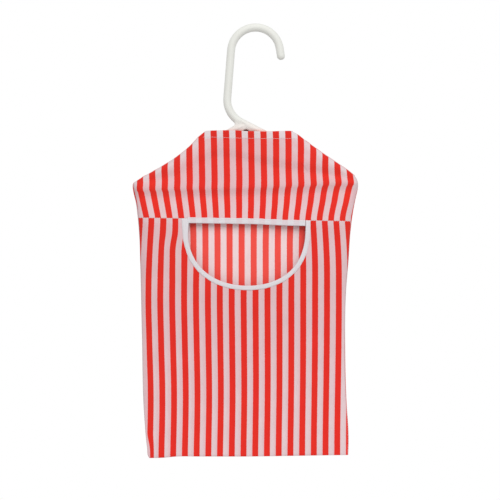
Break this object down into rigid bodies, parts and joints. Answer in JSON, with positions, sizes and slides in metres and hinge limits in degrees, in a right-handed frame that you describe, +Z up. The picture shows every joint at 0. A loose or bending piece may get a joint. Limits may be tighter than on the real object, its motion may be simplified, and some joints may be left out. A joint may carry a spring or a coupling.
{
  "type": "peg bag",
  "caption": "Striped cloth peg bag on a hanger: a flat bag with a bound D-shaped mouth under its yoke, hung from a line or rail by a moulded plastic hook.",
  "frame": {"origin": "the hook's seat: the inside top of the hook, where a line or rail carries the bag", "axes": "+Z up, +X to the right as seen from the front, +Y from the front with the mouth towards the flat back"},
  "size_m": [0.2701, 0.0152, 0.5186],
  "materials": {
    "hanger_plastic": "off-white satin moulded plastic",
    "striped_cloth": "plain-weave cotton with even red and white upright stripes",
    "binding_tape": "white cotton tape, folded over the edge",
    "sewing_thread": "white sewing thread"
  },
  "bodies": {
    "hanger": {"hanger": "hanger_plastic"},
    "bag": {"back_panel": "striped_cloth", "front_yoke": "striped_cloth", "front_pocket": "striped_cloth", "yoke_binding": "binding_tape", "pocket_binding": "binding_tape", "front_hem_thread": "sewing_thread", "back_hem_thread": "sewing_thread", "yoke_binding_thread": "sewing_thread", "pocket_binding_thread": "sewing_thread", "yoke_seam_thread_left": "sewing_thread", "yoke_seam_thread_right": "sewing_thread", "body_seam_thread": "sewing_thread"}
  },
  "joints": [
    {"name": "bag_lift", "type": "slide", "parent": "hanger", "child": "bag", "axis": [0, 0, 1], "range_m": [0, 0.008]}
  ]
}
